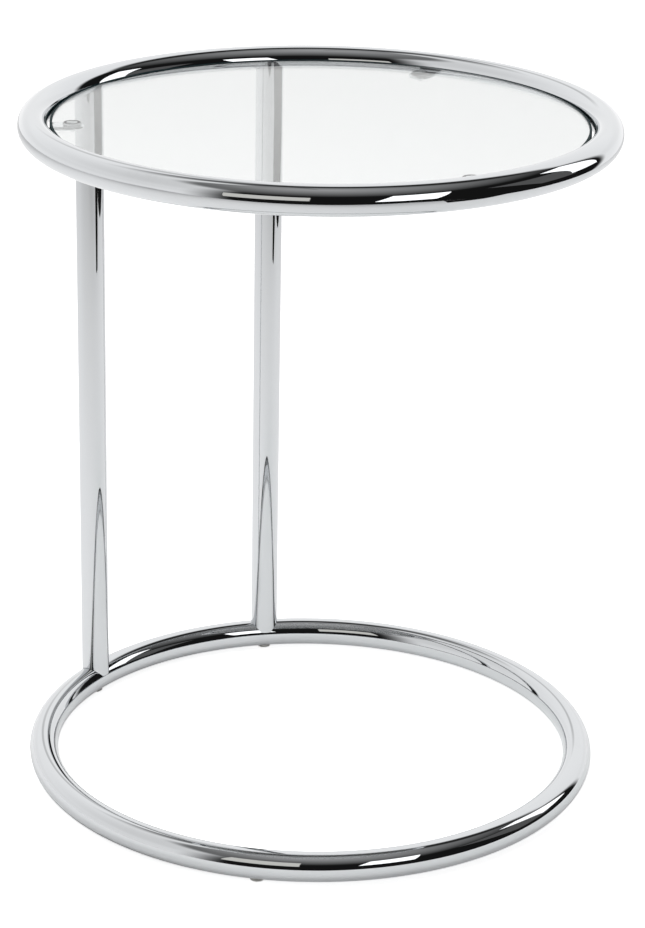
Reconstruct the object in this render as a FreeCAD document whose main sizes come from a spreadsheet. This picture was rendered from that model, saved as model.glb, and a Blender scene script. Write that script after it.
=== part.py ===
import FreeCAD, Part
import math
import os
import Sketcher
from FreeCAD import Placement, Rotation, Vector

doc = FreeCAD.newDocument("round_side_table")

# Driving sizes in millimetres and degrees
SIZES = [
    ("overall_height", 590, "floor to the top of the top ring"),
    ("ring_outer_diameter", 500, "outside of both tube rings"),
    ("tube_diameter", 25, "outside of ring and post tube"),
    ("tube_wall", 1.5, "wall of ring and post tube"),
    ("post_half_angle", 23.4, "each post from the rear centre line"),
    ("cope_gap", 0.1, "between a cut saddle and the ring it sits on"),
    ("saddle_trim", 4.5, "saddle tips end this far off the ring's mid plane"),
    ("glass_thickness", 6, "glass disc"),
    ("glass_rim_gap", 1.5, "glass edge to the top ring's inner side"),
    ("glass_arris", 0.8, "bevel on both glass edges"),
    ("lug_side_angle", 30, "side supports ahead of the rear line, off the X axis"),
    ("lug_width", 20, "support tongue across"),
    ("lug_thickness", 3, "support tongue"),
    ("lug_reach", 20, "ring's inner side to the pad centre"),
    ("pad_diameter", 15, "clear pad"),
    ("pad_thickness", 2, "clear pad above the tongue"),
    ("pad_round", 0.7, "round on the pad's upper rim"),
    ("pad_stem_diameter", 4.8, "pad stem in the tongue"),
    ("pad_stem_gap", 0.1, "stem to the hole in the tongue, radial"),
    ("pad_barb_diameter", 6.4, "bulb that holds the pad in the tongue"),
    ("pad_barb_tip", 3, "flat end of the bulb"),
    ("pad_barb_length", 2.5, "bulb below the tongue"),
    ("pad_barb_play", 0.1, "bulb to the underside of the tongue"),
    ("rod_diameter", 6, "tie rod in each post"),
    ("rod_chamfer", 0.6, "both rod ends"),
    ("rod_hole_gap", 0.5, "rod to the hole in the base ring, radial"),
    ("rod_tail", 3, "rod showing below the clamp nut"),
    ("thread_gap", 0.05, "rod to boss and nut, radial"),
    ("boss_diameter", 12, "boss body in the ring wall"),
    ("boss_hole_gap", 0.1, "boss to the hole in the ring wall, radial"),
    ("boss_collar_gap", 2, "boss collar to the post bore, radial"),
    ("boss_collar_drop", 4, "collar below the ring"),
    ("boss_rise", 5, "boss body above the ring's inner floor"),
    ("boss_top_cover", 1, "boss above the rod end"),
    ("washer_land", 3.5, "saddle washer beyond its hole, radial"),
    ("washer_edge", 1.5, "saddle washer at its thin sides"),
    ("nut_width", 10, "clamp nut across its flats"),
    ("nut_height", 5, "clamp nut"),
    ("nut_face_cut", 0.4, "bevelled face inside the flats"),
    ("glide_height", 1, "floor to the base ring"),
    ("glide_head_overhang", 1, "glide head beyond its hole, radial"),
    ("glide_round", 0.4, "round on the glide's lower rim"),
    ("glide_hole_inset", 6, "hole in the base ring's lower wall, inside the bore, radial"),
    ("glide_stem_gap", 0.1, "glide stem to its hole, radial"),
    ("glide_lip", 0.6, "holding lip beyond the hole, radial"),
    ("glide_lip_height", 1.2, "holding lip"),
    ("glide_lip_play", 0.3, "holding lip to the tube's inner wall"),
    ("glide_front_angle", 45, "front glides from the front centre line"),
]

sheet = doc.addObject("Spreadsheet::Sheet", "sizes")
for row, (alias, value, note) in enumerate(SIZES, start=1):
    sheet.set("A%d" % row, note)
    sheet.set("B%d" % row, str(value))
    sheet.setAlias("B%d" % row, alias)
doc.recompute()


def size(alias):
    """The present value of a sheet cell."""
    return float(sheet.get(alias))


# Sizes that follow from the sheet, as expressions
TUBE_RADIUS = "(sizes.tube_diameter / 2)"
BORE_RADIUS = "(sizes.tube_diameter / 2 - sizes.tube_wall)"
RING_RADIUS = "((sizes.ring_outer_diameter - sizes.tube_diameter) / 2)"
COPE_RADIUS = "(%s + sizes.cope_gap)" % TUBE_RADIUS
BASE_LEVEL = "(sizes.glide_height + %s)" % TUBE_RADIUS
TOP_LEVEL = "(sizes.overall_height - %s)" % TUBE_RADIUS
GLASS_RADIUS = "(%s - %s - sizes.glass_rim_gap)" % (RING_RADIUS, TUBE_RADIUS)
GLASS_FLOOR = "(%s - sizes.glass_thickness / 2)" % TOP_LEVEL
LUG_TOP = "(%s - sizes.pad_thickness)" % GLASS_FLOOR
LUG_FLOOR = "(%s - sizes.lug_thickness)" % LUG_TOP
PAD_CENTRE = "(%s - %s - sizes.lug_reach)" % (RING_RADIUS, TUBE_RADIUS)
BOSS_TOP = "(%s - %s + sizes.boss_rise)" % (TOP_LEVEL, BORE_RADIUS)
BOSS_FLOOR = "(%s - %s - sizes.boss_collar_drop)" % (TOP_LEVEL, TUBE_RADIUS)
ROD_HOLE_RADIUS = "(sizes.rod_diameter / 2 + sizes.rod_hole_gap)"
WASHER_FIT = "(%s - sizes.cope_gap)" % BORE_RADIUS
WASHER_RADIUS = "(%s + sizes.washer_land)" % ROD_HOLE_RADIUS
WASHER_FLOOR = (
    "(%s + sqrt(%s ^ 2 - %s ^ 2) - sizes.washer_edge)" % (BASE_LEVEL, WASHER_FIT, WASHER_RADIUS)
)
NUT_FLOOR = "(%s - sizes.nut_height)" % WASHER_FLOOR
ROD_FLOOR = "(%s - sizes.rod_tail)" % NUT_FLOOR
ROD_TOP = "(%s - sizes.boss_top_cover)" % BOSS_TOP
THREAD_RADIUS = "(sizes.rod_diameter / 2 + sizes.thread_gap)"
GLIDE_HOLE_RADIUS = "(%s - sizes.glide_hole_inset)" % BORE_RADIUS
GLIDE_HEAD_RADIUS = "(%s + sizes.glide_head_overhang)" % GLIDE_HOLE_RADIUS
GLIDE_LIP_RADIUS = "(%s + sizes.glide_lip)" % GLIDE_HOLE_RADIUS
GLIDE_LIP_FLOOR = (
    "(%s - sqrt(%s ^ 2 - %s ^ 2) + sizes.glide_lip_play)" % (BASE_LEVEL, BORE_RADIUS, GLIDE_LIP_RADIUS)
)
GLIDE_TOP = "(%s + sizes.glide_lip_height)" % GLIDE_LIP_FLOOR

# Directions of the repeated pieces, degrees from +X about the table axis
POST_TURNS = {
    "left": "90 + sizes.post_half_angle",
    "right": "90 - sizes.post_half_angle",
}
LUG_TURNS = {
    "left": "180 - sizes.lug_side_angle",
    "right": "sizes.lug_side_angle",
    "front": "270",
}
GLIDE_TURNS = {
    "rear_left": POST_TURNS["left"],
    "rear_right": POST_TURNS["right"],
    "front_left": "270 - sizes.glide_front_angle",
    "front_right": "270 + sizes.glide_front_angle",
}

pieces = []


def new_body(label, turn="0"):
    """A body that is modelled on the +X side and turned about the table axis."""
    body = doc.addObject("PartDesign::Body", label)
    body.Label = label
    body.Placement = Placement(Vector(), Rotation(Vector(0, 0, 1), 0))
    body.setExpression("Placement.Rotation.Angle", turn)
    pieces.append(body)
    return body


def new_sketch(body, name, plane, level=None):
    """A sketch on one of the body's own planes, raised to a level where one is given."""
    sketch = body.newObject("Sketcher::SketchObject", name)
    support = [feature for feature in body.Origin.OriginFeatures if feature.Role == plane][0]
    sketch.AttachmentSupport = [(support, "")]
    sketch.MapMode = "FlatFace"
    if level is not None:
        sketch.setExpression("AttachmentOffset.Base.z", level)
    doc.recompute()
    return sketch


def bind(sketch, constraint, expression):
    """Add a constraint and let the sheet drive it."""
    index = sketch.addConstraint(constraint)
    sketch.setExpression("Constraints[%d]" % index, expression)


def add_circle(sketch, across, up, radius):
    """A circle whose centre and radius are expressions."""
    index = sketch.addGeometry(Part.Circle(Vector(1, 1, 0), Vector(0, 0, 1), 1))
    bind(sketch, Sketcher.Constraint("Radius", index, 1), radius)
    bind(sketch, Sketcher.Constraint("DistanceX", -1, 1, index, 3, 1), across)
    bind(sketch, Sketcher.Constraint("DistanceY", -1, 1, index, 3, 1), up)


def add_outline(sketch, corners):
    """A closed outline of straight sides whose corners are pairs of expressions."""
    first = sketch.GeometryCount
    count = len(corners)
    turns = [2 * math.pi * index / count for index in range(count + 1)]
    guesses = [Vector(math.cos(turn), math.sin(turn), 0) for turn in turns]
    for index in range(count):
        sketch.addGeometry(Part.LineSegment(guesses[index], guesses[index + 1]))
    for index, (across, up) in enumerate(corners):
        side = first + index
        next_side = first + (index + 1) % count
        sketch.addConstraint(Sketcher.Constraint("Coincident", side, 2, next_side, 1))
        bind(sketch, Sketcher.Constraint("DistanceX", -1, 1, side, 1, 1), across)
        bind(sketch, Sketcher.Constraint("DistanceY", -1, 1, side, 1, 1), up)


def finish_feature(body, feature, sketch):
    """Give a feature its sketch and make it the body's result."""
    feature.Profile = sketch
    doc.recompute()
    body.Tip = feature
    return feature


def pad(body, sketch, length):
    """Raise the sketch by a length."""
    feature = body.newObject("PartDesign::Pad", sketch.Name + "_pad")
    feature.setExpression("Length", length)
    return finish_feature(body, feature, sketch)


def revolve(body, sketch):
    """Turn the sketch about the vertical axis of its plane."""
    feature = body.newObject("PartDesign::Revolution", sketch.Name + "_turned")
    feature.ReferenceAxis = (sketch, ["V_Axis"])
    feature.Angle = 360
    return finish_feature(body, feature, sketch)


def require_cut(body, volume_before, name):
    """Stop when a cut took nothing away."""
    if not body.Shape.Volume < volume_before - 0.01:
        raise RuntimeError("%s cuts nothing" % name)


def pocket(body, sketch, length, upward=False):
    """Cut the sketch downward, or upward, by a length."""
    volume_before = body.Shape.Volume
    feature = body.newObject("PartDesign::Pocket", sketch.Name + "_cut")
    feature.setExpression("Length", length)
    feature.Reversed = upward
    finish_feature(body, feature, sketch)
    require_cut(body, volume_before, feature.Name)
    return feature


def groove(body, sketch):
    """Turn the sketch about the table axis and take it away."""
    volume_before = body.Shape.Volume
    feature = body.newObject("PartDesign::Groove", sketch.Name + "_cut")
    feature.ReferenceAxis = (sketch, ["V_Axis"])
    feature.Angle = 360
    finish_feature(body, feature, sketch)
    require_cut(body, volume_before, feature.Name)
    return feature


def on_circle(turn):
    """The two coordinates of a point of the ring's centre circle."""
    return "%s * cos(%s)" % (RING_RADIUS, turn), "%s * sin(%s)" % (RING_RADIUS, turn)


def tube_ring(label, level):
    """A closed ring of hollow tube about the table axis."""
    body = new_body(label)
    section = new_sketch(body, label + "_section", "XZ_Plane")
    add_circle(section, RING_RADIUS, level, TUBE_RADIUS)
    add_circle(section, RING_RADIUS, level, BORE_RADIUS)
    revolve(body, section)
    return body


def wall_holes(body, name, level, turns, radius, upward):
    """Round holes through the upper or lower wall of a tube ring."""
    sketch = new_sketch(body, name, "XY_Plane", level)
    for turn in turns:
        across, up = on_circle(turn)
        add_circle(sketch, across, up, radius)
    pocket(body, sketch, "sizes.tube_diameter", upward)


def ring_cope(body, name, levels, radius):
    """Cut a body to the shape of one or more tube rings."""
    sketch = new_sketch(body, name, "XZ_Plane")
    for level in levels:
        add_circle(sketch, RING_RADIUS, level, radius)
    groove(body, sketch)


def round_bar(body, name, floor, top, radius):
    """An upright round bar on the ring's centre circle."""
    sketch = new_sketch(body, name, "XY_Plane", floor)
    add_circle(sketch, RING_RADIUS, "0", radius)
    return pad(body, sketch, "%s - %s" % (top, floor))


def round_bore(body, name, top, radius, depth):
    """An upright round bore on the ring's centre circle, cut downward."""
    sketch = new_sketch(body, name, "XY_Plane", top)
    add_circle(sketch, RING_RADIUS, "0", radius)
    pocket(body, sketch, depth)


def edges_at(feature, level, radius):
    """Names of the round edges of a feature at a level, with a given radius."""
    found = []
    for number, edge in enumerate(feature.Shape.Edges, start=1):
        curve = edge.Curve
        if not isinstance(curve, Part.Circle):
            continue
        if abs(curve.Center.z - level) < 0.001 and abs(curve.Radius - radius) < 0.001:
            found.append("Edge%d" % number)
    if not found:
        raise RuntimeError("no edge on %s at %.3f" % (feature.Name, level))
    return found


def dress(body, kind, feature, spots, amount):
    """Fillet or chamfer round edges, given as pairs of level and radius."""
    names = []
    for level, radius in spots:
        names.extend(edges_at(feature, level, radius))
    dressed = body.newObject("PartDesign::" + kind, feature.Name + "_edge")
    dressed.Base = (feature, names)
    if kind == "Fillet":
        dressed.setExpression("Radius", amount)
    else:
        dressed.setExpression("Size", amount)
    doc.recompute()
    body.Tip = dressed
    return dressed


def value(expression):
    """The present value of an expression over the sheet."""
    return float(sheet.evalExpression(expression.replace("sizes.", "")))


# Top ring with the two holes that take the threaded bosses
top_ring = tube_ring("top_ring", TOP_LEVEL)
wall_holes(top_ring, "boss_holes", TOP_LEVEL, POST_TURNS.values(),
           "sizes.boss_diameter / 2 + sizes.boss_hole_gap", False)

# Base ring with the rod holes above and the glide holes below
base_ring = tube_ring("base_ring", BASE_LEVEL)
wall_holes(base_ring, "rod_holes", BASE_LEVEL, POST_TURNS.values(), ROD_HOLE_RADIUS, True)
wall_holes(base_ring, "glide_holes", BASE_LEVEL, GLIDE_TURNS.values(), GLIDE_HOLE_RADIUS, False)

# Posts, tie rods and what holds them at both ends
for side, turn in POST_TURNS.items():
    post = new_body(side + "_post", turn)
    tube = new_sketch(post, side + "_post_section", "XY_Plane", BASE_LEVEL + " + sizes.saddle_trim")
    add_circle(tube, RING_RADIUS, "0", TUBE_RADIUS)
    add_circle(tube, RING_RADIUS, "0", BORE_RADIUS)
    pad(post, tube, "%s - %s - 2 * sizes.saddle_trim" % (TOP_LEVEL, BASE_LEVEL))
    ring_cope(post, side + "_post_saddles", (BASE_LEVEL, TOP_LEVEL), COPE_RADIUS)

    rod = new_body(side + "_tie_rod", turn)
    bar = round_bar(rod, side + "_rod_section", ROD_FLOOR, ROD_TOP, "sizes.rod_diameter / 2")
    rod_ends = [(value(ROD_FLOOR), size("rod_diameter") / 2), (value(ROD_TOP), size("rod_diameter") / 2)]
    dress(rod, "Chamfer", bar, rod_ends, "sizes.rod_chamfer")

    boss = new_body(side + "_threaded_boss", turn)
    round_bar(boss, side + "_boss_collar", BOSS_FLOOR, TOP_LEVEL, BORE_RADIUS + " - sizes.boss_collar_gap")
    ring_cope(boss, side + "_boss_seat", (TOP_LEVEL,), COPE_RADIUS)
    round_bar(boss, side + "_boss_body", BOSS_FLOOR, BOSS_TOP, "sizes.boss_diameter / 2")
    round_bore(boss, side + "_boss_thread", BOSS_TOP, THREAD_RADIUS, "sizes.tube_diameter")

    washer = new_body(side + "_saddle_washer", turn)
    round_bar(washer, side + "_washer_disc", WASHER_FLOOR, "(%s + %s)" % (BASE_LEVEL, BORE_RADIUS),
              WASHER_RADIUS)
    crown = new_sketch(washer, side + "_washer_crown", "XZ_Plane")
    add_circle(crown, RING_RADIUS, BASE_LEVEL, WASHER_FIT)
    add_circle(crown, RING_RADIUS, BASE_LEVEL, "sizes.tube_diameter")
    groove(washer, crown)
    round_bore(washer, side + "_washer_bore", BASE_LEVEL + " + " + BORE_RADIUS, ROD_HOLE_RADIUS,
               "sizes.tube_diameter")

    nut = new_body(side + "_clamp_nut", turn)
    blank = new_sketch(nut, side + "_nut_section", "XZ_Plane")
    corner = "sizes.nut_width / sqrt(3)"
    face = "(sizes.nut_width / 2 - sizes.nut_face_cut)"
    bevel = "(%s - %s) / 2" % (corner, face)
    add_outline(blank, [
        (THREAD_RADIUS, NUT_FLOOR),
        (face, NUT_FLOOR),
        (corner, "%s + %s" % (NUT_FLOOR, bevel)),
        (corner, "%s - %s" % (WASHER_FLOOR, bevel)),
        (face, WASHER_FLOOR),
        (THREAD_RADIUS, WASHER_FLOOR),
    ])
    revolve(nut, blank)
    flats = new_sketch(nut, side + "_nut_flats", "XY_Plane", WASHER_FLOOR)
    add_circle(flats, "0", "0", "sizes.nut_width")
    hexagon = []
    for at in range(0, 360, 60):
        hexagon.append(("%s * cos(%d)" % (corner, at), "%s * sin(%d)" % (corner, at)))
    add_outline(flats, hexagon)
    pocket(nut, flats, "2 * sizes.nut_height")
    nut.setExpression("Placement.Base.x", "%s * cos(%s)" % (RING_RADIUS, turn))
    nut.setExpression("Placement.Base.y", "%s * sin(%s)" % (RING_RADIUS, turn))

# Glass disc with both edges bevelled
glass = new_body("glass_top")
disc = new_sketch(glass, "glass_outline", "XY_Plane", GLASS_FLOOR)
add_circle(disc, "0", "0", GLASS_RADIUS)
plate = pad(glass, disc, "sizes.glass_thickness")
glass_radius = value(GLASS_RADIUS)
glass_floor = value(GLASS_FLOOR)
glass_rims = [(glass_floor, glass_radius), (glass_floor + size("glass_thickness"), glass_radius)]
dress(glass, "Chamfer", plate, glass_rims, "sizes.glass_arris")

# Glass supports: a tongue on the ring and a clear pad pressed into it
for place, turn in LUG_TURNS.items():
    lug = new_body("glass_lug_" + place, turn)
    tongue = new_sketch(lug, place + "_lug_outline", "XY_Plane", LUG_FLOOR)
    add_outline(tongue, [
        (PAD_CENTRE, "-sizes.lug_width / 2"),
        (RING_RADIUS, "-sizes.lug_width / 2"),
        (RING_RADIUS, "sizes.lug_width / 2"),
        (PAD_CENTRE, "sizes.lug_width / 2"),
    ])
    pad(lug, tongue, "sizes.lug_thickness")
    tip = new_sketch(lug, place + "_lug_tip", "XY_Plane", LUG_FLOOR)
    add_circle(tip, PAD_CENTRE, "0", "sizes.lug_width / 2")
    pad(lug, tip, "sizes.lug_thickness")
    ring_cope(lug, place + "_lug_root", (TOP_LEVEL,), COPE_RADIUS)
    hole = new_sketch(lug, place + "_lug_hole", "XY_Plane", LUG_TOP)
    add_circle(hole, PAD_CENTRE, "0", "sizes.pad_stem_diameter / 2 + sizes.pad_stem_gap")
    pocket(lug, hole, "2 * sizes.lug_thickness")

    bumper = new_body("glass_pad_" + place, turn)
    shape = new_sketch(bumper, place + "_pad_section", "XZ_Plane")
    stem = "sizes.pad_stem_diameter / 2"
    barb = "sizes.pad_barb_diameter / 2"
    barb_top = "(%s - sizes.pad_barb_play)" % LUG_FLOOR
    barb_end = "(%s - sizes.pad_barb_length)" % barb_top
    add_outline(shape, [
        ("0", barb_end),
        ("sizes.pad_barb_tip / 2", barb_end),
        (barb, barb_top),
        (stem, barb_top),
        (stem, LUG_TOP),
        ("sizes.pad_diameter / 2", LUG_TOP),
        ("sizes.pad_diameter / 2", GLASS_FLOOR),
        ("0", GLASS_FLOOR),
    ])
    turned = revolve(bumper, shape)
    dress(bumper, "Fillet", turned, [(value(GLASS_FLOOR), size("pad_diameter") / 2)], "sizes.pad_round")
    bumper.setExpression("Placement.Base.x", "%s * cos(%s)" % (PAD_CENTRE, turn))
    bumper.setExpression("Placement.Base.y", "%s * sin(%s)" % (PAD_CENTRE, turn))

# Floor glides: a flat head shaped to the ring above it, a stem in the hole and a lip that holds it
for place, turn in GLIDE_TURNS.items():
    glide = new_body("floor_glide_" + place, turn)
    head = round_bar(glide, place + "_glide_head", "0", BASE_LEVEL, GLIDE_HEAD_RADIUS)
    dress(glide, "Fillet", head, [(0, value(GLIDE_HEAD_RADIUS))], "sizes.glide_round")
    ring_cope(glide, place + "_glide_seat", (BASE_LEVEL,), COPE_RADIUS)
    stem_radius = GLIDE_HOLE_RADIUS + " - sizes.glide_stem_gap"
    round_bar(glide, place + "_glide_stem", "sizes.glide_height / 2", GLIDE_TOP, stem_radius)
    round_bar(glide, place + "_glide_lip", GLIDE_LIP_FLOOR, GLIDE_TOP, GLIDE_LIP_RADIUS)

doc.recompute()

# Every object must be sound before anything is written
for thing in doc.Objects:
    if "Invalid" in thing.State or "Error" in thing.State:
        raise RuntimeError("%s is %s" % (thing.Name, thing.State))
for piece in pieces:
    if piece.Shape.isNull() or not piece.Shape.isValid() or len(piece.Shape.Solids) != 1:
        raise RuntimeError("%s is not one sound solid" % piece.Label)

os.makedirs("parts", exist_ok=True)
for piece in pieces:
    piece.Shape.exportStep("parts/%s.step" % piece.Label)
print("wrote %d parts" % len(pieces))
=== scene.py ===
import math

import bmesh
import bpy
from mathutils import Euler, Matrix, Vector


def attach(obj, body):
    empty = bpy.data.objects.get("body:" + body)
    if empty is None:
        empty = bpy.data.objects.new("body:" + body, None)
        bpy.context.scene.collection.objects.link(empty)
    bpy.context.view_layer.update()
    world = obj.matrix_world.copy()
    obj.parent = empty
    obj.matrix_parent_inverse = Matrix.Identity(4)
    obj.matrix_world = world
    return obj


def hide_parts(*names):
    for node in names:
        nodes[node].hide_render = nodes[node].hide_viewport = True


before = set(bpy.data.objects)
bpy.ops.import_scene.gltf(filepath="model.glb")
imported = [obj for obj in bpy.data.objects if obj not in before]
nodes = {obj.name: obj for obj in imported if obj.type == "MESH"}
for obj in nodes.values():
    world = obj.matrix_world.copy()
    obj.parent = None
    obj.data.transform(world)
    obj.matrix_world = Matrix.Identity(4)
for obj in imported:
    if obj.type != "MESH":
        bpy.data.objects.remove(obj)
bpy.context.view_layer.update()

# Sizes in metres and directions about the table's axis in degrees, the same as in the CAD model
RING_RADIUS = 0.2375
TUBE_RADIUS = 0.0125
TUBE_WALL = 0.0015
TOP_LEVEL = 0.5775
BASE_LEVEL = 0.0135
SADDLE_GAP = 0.0001
SADDLE_TRIM = 0.0045
POST_TURNS = {"left": 113.4, "right": 66.6}
GLASS_RADIUS = 0.2235
GLASS_THICKNESS = 0.006
GLASS_ARRIS = 0.0008
LUG_TURNS = {"left": 150.0, "right": 30.0, "front": 270.0}
LUG_WIDTH = 0.02
LUG_THICKNESS = 0.003
PAD_CENTRE = 0.205
PAD_RADIUS = 0.0075
PAD_THICKNESS = 0.002
PAD_STEM_RADIUS = 0.0024
PAD_BARB_RADIUS = 0.0032
GLIDE_TURNS = {"rear_left": 113.4, "rear_right": 66.6, "front_left": 225.0, "front_right": 315.0}
GLIDE_RADIUS = 0.006
GLIDE_ROUND = 0.0004

GLASS_FLOOR = TOP_LEVEL - GLASS_THICKNESS / 2
GLASS_TOP = GLASS_FLOOR + GLASS_THICKNESS
LUG_TOP = GLASS_FLOOR - PAD_THICKNESS
LUG_FLOOR = LUG_TOP - LUG_THICKNESS

# Fine forms of the scene's own meshes, in metres
POST_EDGE = 0.0002
GLASS_MARGIN = 0.0013
LUG_BEVEL = 0.0012
LUG_ROOT_RADIUS = RING_RADIUS - TUBE_RADIUS * 0.7
PAD_CORNER = 0.0007
PAD_DISH_RIM_RADIUS = PAD_RADIUS * 0.62
PAD_DISH_RADIUS = PAD_RADIUS * 0.5
PAD_DISH_EDGE = 0.0003
PAD_DISH_DEPTH = 0.0004
BULB_GAP = 0.0001
BULB_ROUND = 0.0006
BULB_LENGTH = 0.0025
BULB_TIP_RADIUS = 0.0014
GLIDE_FLAT_RADIUS = GLIDE_RADIUS * 0.55
GLIDE_SEAT_SHARES = (1.0, 0.67, 0.33, 0.0)
SAME_POINT = 1e-6

# How many facets go round each form, or along it
RING_FACETS = 320
TUBE_FACETS = 56
POST_FACETS = 96
POST_LEVELS = 12
GLASS_FACETS = 256
LUG_END_FACETS = 20
LUG_ROOT_FACETS = 8
PAD_FACETS = 48
GLIDE_FACETS = 48
CORNER_FACETS = 5
GLIDE_CORNER_FACETS = 4

# Camera of the photograph: its place in ring radii, its angles in radians
CAMERA_TURN = math.radians(35.75)
CAMERA_AWAY = 9.889
CAMERA_ASIDE = 0.161
CAMERA_HEIGHT = 4.895
CAMERA_TILT = 0.3607
CAMERA_PAN = -0.0136
CAMERA_ROLL = 0.0179
CAMERA_REACH = 50.0
FOCAL_PIXELS = 2908.0
PHOTO_HEIGHT_PIXELS = 928.0
SENSOR_MM = 36.0

# Floor and lamp of the studio, in metres and watts
FLOOR_FRONT = 2.2
FLOOR_RIGHT = 1.43
FLOOR_FAR = 4.0
FLOOR_LEVEL = -0.0002
LAMP_WIDTH = 2.4
LAMP_POWER = 44.0

WHITE = (1.0, 1.0, 1.0)
UP = Vector((0.0, 0.0, 1.0))


# Shader node helpers

def feed(tree, socket, value):
    """Give an input a number, or link it to the output that makes its number."""
    if isinstance(value, bpy.types.NodeSocket):
        tree.links.new(value, socket)
    else:
        socket.default_value = value


def new_group(name, inputs, outputs):
    """A shader node group with named number inputs and outputs."""
    group = bpy.data.node_groups.new(name, "ShaderNodeTree")
    for socket_name, default in inputs:
        socket = group.interface.new_socket(socket_name, in_out="INPUT", socket_type="NodeSocketFloat")
        socket.default_value = default
    for socket_name in outputs:
        group.interface.new_socket(socket_name, in_out="OUTPUT", socket_type="NodeSocketFloat")
    return group, group.nodes.new("NodeGroupInput"), group.nodes.new("NodeGroupOutput")


def add_math(tree, operation, first, second=None):
    """A Math node whose inputs are numbers or sockets; returns its output."""
    node = tree.nodes.new("ShaderNodeMath")
    node.operation = operation
    feed(tree, node.inputs[0], first)
    if second is not None:
        feed(tree, node.inputs[1], second)
    return node.outputs[0]


def add_range(tree, value, span, result, smooth=True):
    """A clamped Map Range node that takes a span of values to a result from one end to the other."""
    node = tree.nodes.new("ShaderNodeMapRange")
    node.interpolation_type = "SMOOTHSTEP" if smooth else "LINEAR"
    tree.links.new(value, node.inputs["Value"])
    feed(tree, node.inputs["From Min"], span[0])
    feed(tree, node.inputs["From Max"], span[1])
    feed(tree, node.inputs["To Min"], result[0])
    feed(tree, node.inputs["To Max"], result[1])
    return node.outputs["Result"]


def add_noise(tree, vector, scale, detail=4.0, roughness=0.5, distortion=0.0):
    """A noise texture; returns its factor."""
    node = tree.nodes.new("ShaderNodeTexNoise")
    tree.links.new(vector, node.inputs["Vector"])
    feed(tree, node.inputs["Scale"], scale)
    node.inputs["Detail"].default_value = detail
    node.inputs["Roughness"].default_value = roughness
    node.inputs["Distortion"].default_value = distortion
    return node.outputs["Fac"]


def add_mix(tree, amount, first, second):
    """A number that goes from a first to a second one, which are numbers or sockets; returns its output."""
    node = tree.nodes.new("ShaderNodeMix")
    node.data_type = "FLOAT"
    tree.links.new(amount, node.inputs["Factor"])
    feed(tree, node.inputs["A"], first)
    feed(tree, node.inputs["B"], second)
    return node.outputs["Result"]


def mix_colour(tree, amount, first, second):
    """Two plain colours mixed by a mask; returns the colour."""
    node = tree.nodes.new("ShaderNodeMix")
    node.data_type = "RGBA"
    tree.links.new(amount, node.inputs["Factor"])
    node.inputs["A"].default_value = (*first, 1.0)
    node.inputs["B"].default_value = (*second, 1.0)
    return node.outputs["Result"]


def mix_shaders(tree, amount, first, second):
    """Two shaders mixed by a mask; returns the mixed shader."""
    node = tree.nodes.new("ShaderNodeMixShader")
    tree.links.new(amount, node.inputs["Fac"])
    tree.links.new(first, node.inputs[1])
    tree.links.new(second, node.inputs[2])
    return node.outputs["Shader"]


def add_bump(tree, height, distance, strength):
    """A bump of a real depth in metres; returns its normal."""
    node = tree.nodes.new("ShaderNodeBump")
    node.inputs["Distance"].default_value = distance
    node.inputs["Strength"].default_value = strength
    tree.links.new(height, node.inputs["Height"])
    return node.outputs["Normal"]


def add_mask(tree, group, **values):
    """Place one of the shared effects and set its inputs; returns its mask."""
    node = tree.nodes.new("ShaderNodeGroup")
    node.node_tree = group
    for name, value in values.items():
        node.inputs[name].default_value = value
    return node.outputs["Mask"]


def object_place(tree):
    """Coordinates fixed to the piece, in metres."""
    return tree.nodes.new("ShaderNodeTexCoord").outputs["Object"]


def along(tree, way, axis):
    """How far a place or direction lies along an axis."""
    node = tree.nodes.new("ShaderNodeVectorMath")
    node.operation = "DOT_PRODUCT"
    tree.links.new(way, node.inputs[0])
    node.inputs[1].default_value = axis
    return node.outputs["Value"]


def bare_material(name):
    """A material with an output and nothing else."""
    material = bpy.data.materials.new(name)
    material.use_nodes = True
    tree = material.node_tree
    tree.nodes.clear()
    return material, tree, tree.nodes.new("ShaderNodeOutputMaterial")


def new_finish(name):
    """A material with a Principled BSDF joined to its output."""
    material, tree, output = bare_material(name)
    shader = tree.nodes.new("ShaderNodeBsdfPrincipled")
    tree.links.new(shader.outputs["BSDF"], output.inputs["Surface"])
    return material, tree, shader


# Effects shared by the finishes

def covered(group, given, noise, bare, full):
    """A mask of the high places of a noise; its lower limit falls from bare as the group's Cover grows."""
    full_cover_drop = 0.4
    lowered = add_math(group, "MULTIPLY", given.outputs["Cover"], full_cover_drop)
    lowest = add_math(group, "SUBTRACT", bare, lowered)
    return add_range(group, noise, (lowest, full), (0.0, 1.0))


def make_touch_marks():
    """Soft clouded marks that hands and polishing cloths leave."""
    group, given, result = new_group("touch_marks", [("Size", 12.0), ("Cover", 0.5)], ["Mask"])
    place = object_place(group)
    cloud = add_noise(group, place, scale=given.outputs["Size"], detail=3.0, distortion=0.6)
    fine = add_noise(group, place, scale=260.0, detail=5.0, roughness=0.65)
    marks = covered(group, given, cloud, bare=0.78, full=0.82)
    broken = add_range(group, fine, (0.35, 0.7), (0.45, 1.0))
    group.links.new(add_math(group, "MULTIPLY", marks, broken), result.inputs["Mask"])
    return group


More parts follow.
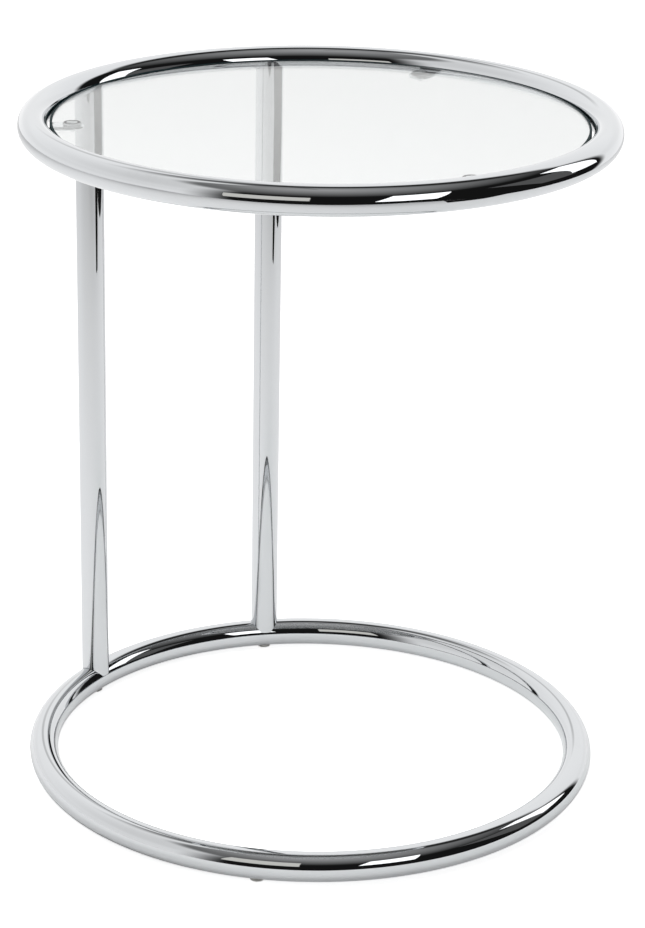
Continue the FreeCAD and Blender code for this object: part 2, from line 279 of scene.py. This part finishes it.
def make_hairlines():
    """Thin wiping scratches that run in many directions."""
    group, given, result = new_group("hairlines", [("Size", 90.0), ("Cover", 0.4)], ["Mask"])
    place = object_place(group)
    stretched = (1.0, 1.0, 0.06)
    line_width = 0.03
    lines = None
    for wiping_turn in ((0.3, 0.2, 0.9), (1.2, 0.8, 2.3), (2.1, 1.7, 0.4)):
        mapping = group.nodes.new("ShaderNodeMapping")
        mapping.inputs["Rotation"].default_value = wiping_turn
        mapping.inputs["Scale"].default_value = stretched
        group.links.new(place, mapping.inputs["Vector"])
        cells = group.nodes.new("ShaderNodeTexVoronoi")
        cells.feature = "DISTANCE_TO_EDGE"
        group.links.new(mapping.outputs["Vector"], cells.inputs["Vector"])
        group.links.new(given.outputs["Size"], cells.inputs["Scale"])
        line = add_range(group, cells.outputs["Distance"], (0.0, line_width), (1.0, 0.0))
        lines = line if lines is None else add_math(group, "MAXIMUM", lines, line)
    patches = add_noise(group, place, scale=18.0, detail=2.0)
    shown = covered(group, given, patches, bare=0.75, full=0.8)
    group.links.new(add_math(group, "MULTIPLY", lines, shown), result.inputs["Mask"])
    return group


touch_marks = make_touch_marks()
hairlines = make_hairlines()


# Finishes

def make_chrome():
    """Mirror chrome plate on polished bent tube."""
    material, tree, shader = new_finish("mirror_chrome")
    wiped = (0.648, 0.661, 0.676)
    touched = (0.594, 0.603, 0.614)
    scratch_roughness = 0.05
    marks = add_mask(tree, touch_marks, Size=9.0, Cover=0.45)
    lines = add_mask(tree, hairlines, Size=120.0, Cover=0.35)
    tree.links.new(mix_colour(tree, marks, wiped, touched), shader.inputs["Base Color"])
    shader.inputs["Metallic"].default_value = 1.0
    rough = add_range(tree, marks, (0.0, 1.0), (0.022, 0.06), smooth=False)
    scratched = add_math(tree, "MULTIPLY", lines, scratch_roughness)
    tree.links.new(add_math(tree, "ADD", rough, scratched), shader.inputs["Roughness"])
    ripple = add_noise(tree, object_place(tree), scale=22.0, detail=1.0)
    tree.links.new(add_bump(tree, ripple, distance=0.0002, strength=0.12), shader.inputs["Normal"])
    return material


def make_glass():
    """Clear float glass: white through its face, green through its depth."""
    material, tree, shader = new_finish("clear_float_glass")
    wiped = (0.995, 1.0, 0.999)
    touched = (0.972, 0.978, 0.977)
    scratch_roughness = 0.02
    marks = add_mask(tree, touch_marks, Size=7.0, Cover=0.4)
    lines = add_mask(tree, hairlines, Size=60.0, Cover=0.2)
    tree.links.new(mix_colour(tree, marks, wiped, touched), shader.inputs["Base Color"])
    shader.inputs["Transmission Weight"].default_value = 1.0
    shader.inputs["IOR"].default_value = 1.52
    tree.links.new(add_math(tree, "MULTIPLY", lines, scratch_roughness), shader.inputs["Roughness"])
    depth = tree.nodes.new("ShaderNodeVolumeAbsorption")
    depth.inputs["Color"].default_value = (0.2, 0.78, 0.62, 1.0)
    depth.inputs["Density"].default_value = 2.0
    light = tree.nodes.new("ShaderNodeLightPath")
    clear = tree.nodes.new("ShaderNodeBsdfTransparent")
    clear.inputs["Color"].default_value = (0.9, 0.93, 0.92, 1.0)
    mixed = mix_shaders(tree, light.outputs["Is Shadow Ray"], shader.outputs["BSDF"], clear.outputs["BSDF"])
    output = tree.get_output_node("ALL")
    tree.links.new(depth.outputs["Volume"], output.inputs["Volume"])
    tree.links.new(mixed, output.inputs["Surface"])
    return material


def make_ground_edge():
    """The ground rim of the glass, matt; its almost black colour is painted shade, standing in for the dark
    that the green depth behind it gives.
    """
    material, tree, shader = new_finish("ground_glass_edge_painted_dark")
    # Painted shade: both tones of the rim are almost black, mixed by a fine grind pattern.
    painted_shade_dark = (0.002, 0.011, 0.013)
    painted_shade_less_dark = (0.007, 0.026, 0.029)
    grind = add_noise(tree, object_place(tree), scale=700.0, detail=3.0)
    tree.links.new(mix_colour(tree, grind, painted_shade_dark, painted_shade_less_dark), shader.inputs["Base Color"])
    tree.links.new(add_range(tree, grind, (0.3, 0.7), (0.3, 0.5)), shader.inputs["Roughness"])
    shader.inputs["IOR"].default_value = 1.52
    shader.inputs["Specular IOR Level"].default_value = 0.02
    tree.links.new(add_bump(tree, grind, distance=0.0001, strength=0.15), shader.inputs["Normal"])
    return material


def make_pad_plastic():
    """Clear soft plastic of the glass pads, a little cloudy."""
    material, tree, shader = new_finish("clear_pad_plastic")
    clear = (0.96, 0.97, 0.97)
    cloudy = (0.9, 0.92, 0.92)
    place = object_place(tree)
    cloud = add_noise(tree, place, scale=220.0, detail=3.0)
    tree.links.new(mix_colour(tree, cloud, clear, cloudy), shader.inputs["Base Color"])
    shader.inputs["Transmission Weight"].default_value = 1.0
    shader.inputs["IOR"].default_value = 1.43
    tree.links.new(add_range(tree, cloud, (0.3, 0.7), (0.04, 0.14)), shader.inputs["Roughness"])
    grain = add_noise(tree, place, scale=1800.0, detail=2.0)
    tree.links.new(add_bump(tree, grain, distance=0.0001, strength=0.2), shader.inputs["Normal"])
    return material


def make_nylon():
    """Natural nylon of the floor glides, matt and scuffed."""
    material, tree, shader = new_finish("natural_nylon")
    clean = (0.9, 0.89, 0.86)
    scuffed = (0.7, 0.69, 0.66)
    scuffs = add_mask(tree, hairlines, Size=300.0, Cover=0.9)
    tree.links.new(mix_colour(tree, scuffs, clean, scuffed), shader.inputs["Base Color"])
    shader.inputs["Transmission Weight"].default_value = 0.6
    shader.inputs["IOR"].default_value = 1.53
    tree.links.new(add_range(tree, scuffs, (0.0, 1.0), (0.42, 0.65)), shader.inputs["Roughness"])
    grain = add_noise(tree, object_place(tree), scale=2400.0, detail=3.0)
    tree.links.new(add_bump(tree, grain, distance=0.0001, strength=0.3), shader.inputs["Normal"])
    return material


def make_zinc():
    """Zinc plated steel of the rods, bosses, washers and nuts."""
    material, tree, shader = new_finish("zinc_plated_steel")
    bluish = (0.5, 0.52, 0.56)
    yellowish = (0.66, 0.66, 0.64)
    scratch_roughness = 0.12
    spangle = add_noise(tree, object_place(tree), scale=420.0, detail=4.0, roughness=0.6)
    lines = add_mask(tree, hairlines, Size=260.0, Cover=0.7)
    tree.links.new(mix_colour(tree, spangle, bluish, yellowish), shader.inputs["Base Color"])
    shader.inputs["Metallic"].default_value = 1.0
    rough = add_range(tree, spangle, (0.3, 0.7), (0.28, 0.42))
    scratched = add_math(tree, "MULTIPLY", lines, scratch_roughness)
    tree.links.new(add_math(tree, "ADD", rough, scratched), shader.inputs["Roughness"])
    tree.links.new(add_bump(tree, spangle, distance=0.0001, strength=0.15), shader.inputs["Normal"])
    return material


chrome = make_chrome()
glass = make_glass()
ground_edge_painted_dark = make_ground_edge()
pad_plastic = make_pad_plastic()
nylon = make_nylon()
zinc = make_zinc()


# Mesh helpers

def finish_piece(bm, name, material, body):
    """Turn a bmesh into a smooth piece that rides on a body and takes its finish from a slot."""
    bmesh.ops.recalc_face_normals(bm, faces=bm.faces[:])
    mesh = bpy.data.meshes.new(name)
    bm.to_mesh(mesh)
    bm.free()
    mesh.shade_smooth()
    piece = bpy.data.objects.new(name, mesh)
    bpy.context.scene.collection.objects.link(piece)
    mesh.materials.append(material)
    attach(piece, body)
    return piece


def crisp_edges(piece, angle):
    """Keep edges sharper than an angle in degrees sharp in the shading."""
    piece.data.set_sharp_from_angle(angle=math.radians(angle))


def at_turn(turn, radius, height):
    """A point at a direction in degrees about the table axis."""
    angle = math.radians(turn)
    return Vector((radius * math.cos(angle), radius * math.sin(angle), height))


def arc(centre, radius, start, end, steps):
    """Points of a round corner in a profile, by angle in degrees."""
    points = []
    for step in range(steps + 1):
        angle = math.radians(start + (end - start) * step / steps)
        points.append((centre[0] + radius * math.cos(angle), centre[1] + radius * math.sin(angle)))
    return points


def lathe(profile, steps, centre=Vector()):
    """Turn a profile of radius and height pairs about an upright axis."""
    bm = bmesh.new()
    line = [bm.verts.new(centre + Vector((radius, 0.0, height))) for radius, height in profile]
    edges = [bm.edges.new(pair) for pair in zip(line, line[1:])]
    bmesh.ops.spin(bm, geom=line + edges, cent=centre, axis=(0, 0, 1), angle=2 * math.pi, steps=steps)
    bmesh.ops.remove_doubles(bm, verts=bm.verts[:], dist=SAME_POINT)
    return bm


def ways_round(steps):
    """Level directions all the way round, one for each column of points."""
    angles = [2 * math.pi * index / steps for index in range(steps)]
    return [Vector((math.cos(angle), math.sin(angle), 0.0)) for angle in angles]


def skin_columns(bm, columns, first_step):
    """Faces between neighbouring columns of points; a first step of 0 also joins the ends of each column."""
    for column, after in zip(columns, columns[1:] + columns[:1]):
        for step in range(first_step, len(column)):
            bm.faces.new((column[step - 1], after[step - 1], after[step], column[step]))


def seat_rise(point):
    """How far from a ring's mid plane a piece that sits on the ring ends at a point of its wall."""
    off_centre = math.hypot(point.x, point.y) - RING_RADIUS
    return math.sqrt(max((TUBE_RADIUS + SADDLE_GAP) ** 2 - off_centre ** 2, 0.0))


# Pieces

def make_ring(name, level, node):
    """One bent tube ring."""
    profile = arc((RING_RADIUS, level), TUBE_RADIUS, 0.0, 360.0, TUBE_FACETS)
    piece = finish_piece(lathe(profile, RING_FACETS), name, chrome, "frame")
    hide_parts(node)


def make_post(side, turn):
    """One straight tube whose ends are cut to saddles, with trimmed tips, to sit on both rings."""
    bm = bmesh.new()
    foot = at_turn(turn, RING_RADIUS, 0.0)
    columns = []
    for away in ways_round(POST_FACETS):
        wall = foot + away * TUBE_RADIUS
        inner = foot + away * (TUBE_RADIUS - POST_EDGE)
        bore = foot + away * (TUBE_RADIUS - TUBE_WALL)
        saddle = max(seat_rise(wall), SADDLE_TRIM)
        bore_saddle = max(seat_rise(bore), SADDLE_TRIM)
        low = BASE_LEVEL + saddle
        high = TOP_LEVEL - saddle
        straight = high - low - 4 * POST_EDGE
        heights = [low + 2 * POST_EDGE + straight * step / POST_LEVELS for step in range(POST_LEVELS + 1)]
        column = [bm.verts.new((inner.x, inner.y, low))]
        for height in (low + POST_EDGE, *heights, high - POST_EDGE):
            column.append(bm.verts.new((wall.x, wall.y, height)))
        column.append(bm.verts.new((inner.x, inner.y, high)))
        column.append(bm.verts.new((bore.x, bore.y, TOP_LEVEL - bore_saddle)))
        column.append(bm.verts.new((bore.x, bore.y, BASE_LEVEL + bore_saddle)))
        columns.append(column)
    skin_columns(bm, columns, first_step=0)
    piece = finish_piece(bm, side + "_post_tube", chrome, "frame")
    crisp_edges(piece, angle=60.0)
    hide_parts(side + "_post")


def make_glass_disc():
    """The loose glass disc: its rim and a narrow margin of both faces have the ground finish, whose almost
    black colour is painted shade.
    """
    edge = GLASS_RADIUS - GLASS_ARRIS
    margin = edge - GLASS_MARGIN
    profile = [
        (0.0, GLASS_FLOOR),
        (margin, GLASS_FLOOR),
        *arc((edge, GLASS_FLOOR + GLASS_ARRIS), GLASS_ARRIS, -90.0, 0.0, CORNER_FACETS),
        *arc((edge, GLASS_TOP - GLASS_ARRIS), GLASS_ARRIS, 0.0, 90.0, CORNER_FACETS),
        (margin, GLASS_TOP),
        (0.0, GLASS_TOP),
    ]
    piece = finish_piece(lathe(profile, GLASS_FACETS), "glass_disc", glass, "glass")
    piece.data.materials.append(ground_edge_painted_dark)
    for face in piece.data.polygons:
        if math.hypot(face.center.x, face.center.y) > margin:
            face.material_index = 1
    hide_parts("glass_top")


def make_lug(place, turn):
    """A steel tongue with a round inner end and worn edges; its root lies inside the tube of the top ring."""
    outward = at_turn(turn, 1.0, 0.0)
    across = Vector((-outward.y, outward.x, 0.0))
    half = LUG_WIDTH / 2
    root = math.sqrt(LUG_ROOT_RADIUS ** 2 - half ** 2)
    outline = arc((PAD_CENTRE, 0.0), half, 90.0, 270.0, LUG_END_FACETS)
    for step in range(LUG_ROOT_FACETS + 1):
        y = -half + LUG_WIDTH * step / LUG_ROOT_FACETS
        outline.append((root + (half ** 2 - y ** 2) / (2 * RING_RADIUS), y))
    bm = bmesh.new()
    rim = [bm.verts.new(outward * x + across * y + Vector((0.0, 0.0, LUG_FLOOR))) for x, y in outline]
    face = bm.faces.new(rim)
    raised = bmesh.ops.extrude_face_region(bm, geom=[face])["geom"]
    moved = [item for item in raised if isinstance(item, bmesh.types.BMVert)]
    bmesh.ops.translate(bm, verts=moved, vec=(0.0, 0.0, LUG_THICKNESS))
    piece = finish_piece(bm, "glass_tongue_" + place, chrome, "frame")
    bevel = piece.modifiers.new("worn_edge", "BEVEL")
    bevel.width = LUG_BEVEL
    bevel.segments = CORNER_FACETS
    bevel.limit_method = "ANGLE"
    bevel.angle_limit = math.radians(50.0)
    crisp_edges(piece, angle=35.0)
    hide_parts("glass_lug_" + place)


def make_pad(place, turn):
    """A clear pad: a dished cushion on the tongue, a stem through it and a bulb under it."""
    centre = at_turn(turn, PAD_CENTRE, 0.0)
    bulb_top = LUG_FLOOR - BULB_GAP
    bulb_middle = (PAD_BARB_RADIUS - BULB_ROUND, bulb_top - BULB_ROUND)
    rim_middle = (PAD_RADIUS - PAD_CORNER, GLASS_FLOOR - PAD_CORNER)
    profile = [
        (0.0, bulb_top - BULB_LENGTH),
        (BULB_TIP_RADIUS, bulb_top - BULB_LENGTH),
        *reversed(arc(bulb_middle, BULB_ROUND, 90.0, -30.0, CORNER_FACETS)),
        (PAD_STEM_RADIUS, bulb_top),
        (PAD_STEM_RADIUS, LUG_TOP),
        (PAD_RADIUS, LUG_TOP),
        *arc(rim_middle, PAD_CORNER, 0.0, 90.0, CORNER_FACETS),
        (PAD_DISH_RIM_RADIUS, GLASS_FLOOR),
        (PAD_DISH_RADIUS, GLASS_FLOOR - PAD_DISH_EDGE),
        (0.0, GLASS_FLOOR - PAD_DISH_DEPTH),
    ]
    bm = lathe(profile, PAD_FACETS, centre)
    piece = finish_piece(bm, "clear_pad_" + place, pad_plastic, "frame")
    crisp_edges(piece, angle=50.0)
    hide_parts("glass_pad_" + place)


def make_glide(place, turn):
    """A nylon glide whose head follows the underside of the base ring."""
    bm = bmesh.new()
    centre = at_turn(turn, RING_RADIUS, 0.0)
    low_middle = (GLIDE_RADIUS - GLIDE_ROUND, GLIDE_ROUND)
    low_rim = arc(low_middle, GLIDE_ROUND, -90.0, 0.0, GLIDE_CORNER_FACETS)
    foot = [(0.0, 0.0), (GLIDE_FLAT_RADIUS, 0.0), *low_rim]
    columns = []
    for away in ways_round(GLIDE_FACETS):
        column = []
        for radius, height in foot:
            column.append(bm.verts.new(centre + away * radius + Vector((0.0, 0.0, height))))
        for share in GLIDE_SEAT_SHARES:
            spot = centre + away * GLIDE_RADIUS * share
            column.append(bm.verts.new((spot.x, spot.y, BASE_LEVEL - seat_rise(spot))))
        columns.append(column)
    skin_columns(bm, columns, first_step=1)
    bmesh.ops.remove_doubles(bm, verts=bm.verts[:], dist=SAME_POINT)
    piece = finish_piece(bm, "nylon_glide_" + place, nylon, "frame")
    crisp_edges(piece, angle=50.0)
    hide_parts("floor_glide_" + place)


make_ring("top_ring_tube", TOP_LEVEL, "top_ring")
make_ring("base_ring_tube", BASE_LEVEL, "base_ring")
for side, turn in POST_TURNS.items():
    make_post(side, turn)
make_glass_disc()
for place, turn in LUG_TURNS.items():
    make_lug(place, turn)
    make_pad(place, turn)
for place, turn in GLIDE_TURNS.items():
    make_glide(place, turn)

# The fittings inside the tubes keep their CAD shapes
for name, node in nodes.items():
    if name.endswith(("_tie_rod", "_threaded_boss", "_saddle_washer", "_clamp_nut")):
        node.data.materials.clear()
        node.data.materials.append(zinc)


# Studio, whose directions are turns in degrees to the right of the way to the camera

def towards(turn, distance, height):
    """A point of the studio at a turn, a level distance from the table's axis and a height."""
    angle = math.radians(turn)
    back = Vector((-math.sin(CAMERA_TURN), -math.cos(CAMERA_TURN), 0.0))
    right = Vector((math.cos(CAMERA_TURN), -math.sin(CAMERA_TURN), 0.0))
    return (back * math.cos(angle) + right * math.sin(angle)) * distance + Vector((0.0, 0.0, height))


def studio_way(turn):
    """The level direction at a turn."""
    return towards(turn, 1.0, 0.0)


def stage_mesh(name, corners, material):
    """A flat stage piece from its corners."""
    mesh = bpy.data.meshes.new(name)
    mesh.from_pydata(corners, [], [tuple(range(len(corners)))])
    mesh.materials.append(material)
    piece = bpy.data.objects.new(name, mesh)
    bpy.context.scene.collection.objects.link(piece)
    return piece


def seen_through(tree, light):
    """One for a ray that has come through glass without being mirrored."""
    unmirrored = add_math(tree, "LESS_THAN", light.outputs["Glossy Depth"], 0.5)
    return add_math(tree, "MULTIPLY", light.outputs["Is Transmission Ray"], unmirrored)


def seen_in_glass(tree, light):
    """One for a ray that a smooth face of the glass has mirrored once, without going through it."""
    once = add_math(tree, "LESS_THAN", light.outputs["Glossy Depth"], 1.5)
    outside = add_math(tree, "LESS_THAN", light.outputs["Transmission Depth"], 0.5)
    first = add_math(tree, "MULTIPLY", once, outside)
    return add_math(tree, "MULTIPLY", light.outputs["Is Singular Ray"], first)


def ring_painted_shadow(tree, spot):
    """Painted shadow of the base ring: what is left of the mirrored floor's glow, less in a narrow band round
    the left of the base ring.
    """
    from_middle = tree.nodes.new("ShaderNodeVectorMath")
    from_middle.operation = "LENGTH"
    tree.links.new(spot, from_middle.inputs[0])
    off_ring = add_math(tree, "SUBTRACT", from_middle.outputs["Value"], RING_RADIUS)
    outer_side = add_range(tree, off_ring, (0.012, 0.06), (0.85, 0.0))
    inner_side = add_range(tree, off_ring, (-0.015, 0.0), (0.0, 1.0))
    near_ring = add_math(tree, "MULTIPLY", outer_side, inner_side)
    on_left = add_range(tree, along(tree, spot, studio_way(90.0)), (-0.2, 0.0), (1.0, 0.0))
    return add_math(tree, "SUBTRACT", 1.0, add_math(tree, "MULTIPLY", near_ring, on_left))


def make_floor():
    """A white paper floor, open from below, that ends before the dark side of the studio. The glow that
    mirrors see in it is painted light: it fades toward the camera as painted shade and has a painted shadow
    round the left of the base ring.
    """
    through_glass = 0.28
    to_camera = 0.75
    material, tree, output = bare_material("white_paper")
    paper = tree.nodes.new("ShaderNodeBsdfDiffuse")
    paper.inputs["Color"].default_value = (0.8, 0.8, 0.8, 1.0)
    light = tree.nodes.new("ShaderNodeLightPath")
    spot = object_place(tree)
    # Painted shade: the floor's glow in mirrors falls from 0.27 by the table to 0.07 toward the camera, as if
    # the floor were lit less there.
    ahead = along(tree, spot, studio_way(0.0))
    mirrored = add_range(tree, ahead, (0.0, 1.75), (0.27, 0.07), smooth=False)
    # Painted shadow: the glow is dimmed in a band just outside the left of the base ring.
    mirrored = add_math(tree, "MULTIPLY", mirrored, ring_painted_shadow(tree, spot))
    lift = add_mix(tree, seen_through(tree, light), mirrored, through_glass)
    lift = add_mix(tree, light.outputs["Is Camera Ray"], lift, to_camera)
    glow = tree.nodes.new("ShaderNodeEmission")
    tree.links.new(lift, glow.inputs["Strength"])
    glowing = tree.nodes.new("ShaderNodeAddShader")
    tree.links.new(paper.outputs["BSDF"], glowing.inputs[0])
    tree.links.new(glow.outputs["Emission"], glowing.inputs[1])
    seen = add_math(tree, "MAXIMUM", light.outputs["Is Glossy Ray"], light.outputs["Is Transmission Ray"])
    seen = add_math(tree, "MAXIMUM", seen, light.outputs["Is Camera Ray"])
    from_above = mix_shaders(tree, seen, paper.outputs["BSDF"], glowing.outputs["Shader"])
    below = tree.nodes.new("ShaderNodeNewGeometry").outputs["Backfacing"]
    open_below = tree.nodes.new("ShaderNodeBsdfTransparent")
    one_sided = mix_shaders(tree, below, from_above, open_below.outputs["BSDF"])
    tree.links.new(one_sided, output.inputs["Surface"])
    material.cycles.emission_sampling = "NONE"
    corners = []
    for front, right in (
        (FLOOR_FRONT, FLOOR_RIGHT),
        (-FLOOR_FAR, FLOOR_RIGHT),
        (-FLOOR_FAR, -FLOOR_FAR),
        (FLOOR_FRONT, -FLOOR_FAR),
    ):
        corner_turn = math.degrees(math.atan2(right, front))
        corners.append(towards(corner_turn, math.hypot(front, right), FLOOR_LEVEL))
    stage_mesh("paper_floor", corners, material)


def make_top_light():
    """A large soft lamp over the table that neither the chrome nor the glass shows."""
    data = bpy.data.lights.new("top_light", "AREA")
    data.shape = "DISK"
    data.size = LAMP_WIDTH
    data.energy = LAMP_POWER
    lamp = bpy.data.objects.new("top_light", data)
    bpy.context.scene.collection.objects.link(lamp)
    lamp.location = towards(turn=-120.0, distance=0.7, height=2.6)
    lamp.rotation_euler = (-lamp.location).to_track_quat("-Z", "Y").to_euler()
    lamp.visible_glossy = False
    lamp.visible_transmission = False


def upright_panel(left, right, distance, low, high):
    """Corners of an upright panel between two turns."""
    return [(left, distance, low), (right, distance, low), (right, distance, high), (left, distance, high)]


def make_panel(name, places, strength, tint=WHITE):
    """A panel that shows in the chrome, not in the smooth glass; a place is a turn, distance and height."""
    material, tree, output = bare_material(name + "_light")
    glow = tree.nodes.new("ShaderNodeEmission")
    glow.inputs["Color"].default_value = (*tint, 1.0)
    glow.inputs["Strength"].default_value = strength
    light = tree.nodes.new("ShaderNodeLightPath")
    unseen = tree.nodes.new("ShaderNodeBsdfTransparent")
    in_glass = light.outputs["Is Singular Ray"]
    mixed = mix_shaders(tree, in_glass, glow.outputs["Emission"], unseen.outputs["BSDF"])
    tree.links.new(mixed, output.inputs["Surface"])
    panel = stage_mesh(name, [towards(*place) for place in places], material)
    panel.visible_camera = False
    panel.visible_transmission = False
    panel.visible_shadow = False


def turn_from(tree, way, middle):
    """Degrees that a direction lies to the right of a turn."""
    aside = along(tree, way, studio_way(middle + 90.0))
    ahead = along(tree, way, studio_way(middle))
    return add_math(tree, "DEGREES", add_math(tree, "ARCTAN2", aside, ahead))


def degrees_off(tree, angle, middle):
    """How many degrees an angle lies off a middle one, to either side."""
    return add_math(tree, "ABSOLUTE", add_math(tree, "SUBTRACT", angle, middle))


def wall_light(tree, way, rise):
    """The light wall, brightest behind the table, with a faint low seam and a soft slanting upper edge."""
    behind_table = 1.12
    over_the_edge = 0.2
    highest = 76.0
    slant = 0.3
    from_back = add_math(tree, "ABSOLUTE", turn_from(tree, way, 180.0))
    side_wall = add_range(tree, rise, (5.0, 35.0), (1.04, 0.87))
    to_side = add_range(tree, from_back, (20.0, 110.0), (0.0, 1.0))
    level = add_mix(tree, to_side, behind_table, side_wall)
    off_highest = add_math(tree, "ABSOLUTE", turn_from(tree, way, -130.0))
    upper_edge = add_math(tree, "SUBTRACT", highest, add_math(tree, "MULTIPLY", off_highest, slant))
    over = add_range(tree, add_math(tree, "SUBTRACT", rise, upper_edge), (-8.0, 2.0), (0.0, 1.0))
    wall = add_mix(tree, over, level, over_the_edge)
    seam = add_range(tree, degrees_off(tree, rise, 10.0), (2.0, 9.0), (0.95, 1.0))
    return add_math(tree, "MULTIPLY", wall, seam)


def ceiling_gap(tree, way):
    """What a dark gap across the ceiling leaves of the light; the gap ends on the left."""
    back = along(tree, way, studio_way(180.0))
    tipped = add_math(tree, "DEGREES", add_math(tree, "ARCTAN2", back, along(tree, way, UP)))
    gap = add_range(tree, degrees_off(tree, tipped, 28.0), (5.0, 13.0), (0.85, 0.0))
    gap_end = add_range(tree, along(tree, way, studio_way(90.0)), (-0.55, -0.2), (0.0, 1.0))
    return add_math(tree, "SUBTRACT", 1.0, add_math(tree, "MULTIPLY", gap, gap_end))


def corner_line(tree, way, rise):
    """What a darker upright corner line behind the table leaves of the light."""
    off_corner = add_math(tree, "ABSOLUTE", turn_from(tree, way, 191.0))
    corner = add_range(tree, off_corner, (2.0, 6.0), (0.35, 0.0))
    above = add_range(tree, rise, (16.0, 26.0), (0.0, 1.0))
    return add_math(tree, "SUBTRACT", 1.0, add_math(tree, "MULTIPLY", corner, above))


def make_world():
    """A light room on the camera's left and behind the table, dark on its right; the camera sees white."""
    world = bpy.data.worlds.new("studio")
    bpy.context.scene.world = world
    world.use_nodes = True
    tree = world.node_tree
    tree.nodes.clear()
    output = tree.nodes.new("ShaderNodeOutputWorld")
    way = tree.nodes.new("ShaderNodeTexCoord").outputs["Generated"]
    turn = turn_from(tree, way, 0.0)
    rise = add_math(tree, "DEGREES", add_math(tree, "ARCSINE", along(tree, way, UP)))
    left_side = add_range(tree, turn, (-53.0, -30.0), (1.0, 0.0))
    right_side = add_range(tree, turn, (126.0, 133.0), (0.0, 1.0))
    light_side = add_math(tree, "MAXIMUM", left_side, right_side)
    ceiling = add_range(tree, rise, (60.0, 90.0), (0.0, 0.22))
    light_room = add_math(tree, "ADD", wall_light(tree, way, rise), ceiling)
    dark_lines = add_math(tree, "MULTIPLY", ceiling_gap(tree, way), corner_line(tree, way, rise))
    light_room = add_math(tree, "MULTIPLY", light_room, dark_lines)
    dark_room = add_range(tree, rise, (38.0, 90.0), (0.01, 0.45), smooth=False)
    room = tree.nodes.new("ShaderNodeBackground")
    room.inputs["Color"].default_value = (*WHITE, 1.0)
    tree.links.new(add_mix(tree, light_side, dark_room, light_room), room.inputs["Strength"])
    white = tree.nodes.new("ShaderNodeBackground")
    white.inputs["Color"].default_value = (*WHITE, 1.0)
    white.inputs["Strength"].default_value = 1.0
    light = tree.nodes.new("ShaderNodeLightPath")
    seen = add_math(tree, "MAXIMUM", light.outputs["Is Camera Ray"], seen_through(tree, light))
    seen = add_math(tree, "MAXIMUM", seen, seen_in_glass(tree, light))
    mixed = mix_shaders(tree, seen, room.outputs["Background"], white.outputs["Background"])
    tree.links.new(mixed, output.inputs["Surface"])


def make_camera():
    """The photograph's camera."""
    data = bpy.data.cameras.new("photo_camera")
    data.sensor_width = SENSOR_MM
    data.lens = FOCAL_PIXELS * SENSOR_MM / PHOTO_HEIGHT_PIXELS
    data.clip_end = CAMERA_REACH
    camera = bpy.data.objects.new("photo_camera", data)
    bpy.context.scene.collection.objects.link(camera)
    place = (studio_way(0.0) * CAMERA_AWAY + studio_way(90.0) * CAMERA_ASIDE) * RING_RADIUS
    camera.location = place + Vector((0.0, 0.0, CAMERA_HEIGHT * RING_RADIUS))
    upright = Euler((math.pi / 2 - CAMERA_TILT, 0.0, -CAMERA_TURN - CAMERA_PAN)).to_matrix()
    rolled = upright @ Matrix.Rotation(CAMERA_ROLL, 3, "Z")
    camera.rotation_euler = rolled.to_euler()
    bpy.context.scene.camera = camera


make_floor()
make_top_light()
make_panel(
    "grey_panel_left",
    [(-31.8, 1.83, 0.79), (-2.5, 1.83, 0.79), (-2.1, 1.04, 1.045), (-32.0, 1.04, 1.045)],
    strength=0.76,
    tint=(1.0, 0.985, 0.93),
)
make_panel(
    "bright_panel_right",
    [(19.0, 1.5, 0.62), (40.0, 1.5, 0.62), (51.0, 1.5, 1.5), (28.0, 1.5, 1.5)],
    strength=2.0,
)
make_panel("bright_panel_side", upright_panel(100.0, 117.0, 1.8, 0.55, 1.85), strength=1.8)
make_panel(
    "dim_panel_side",
    [(84.0, 1.9, 0.4), (103.0, 1.9, 0.4), (103.0, 1.9, 1.4), (64.0, 1.9, 1.4)],
    strength=0.115,
)
make_panel("camera_stand", upright_panel(-9.0, 10.0, 1.85, 0.2, 0.85), strength=0.01)
make_panel(
    "floor_gap",
    [(46.5, 1.13, 0.0), (61.5, 1.14, 0.0), (71.0, 1.56, 0.0), (44.5, 1.99, 0.0)],
    strength=0.01,
)
make_world()
make_camera()

bpy.context.scene.view_settings.view_transform = "Standard"
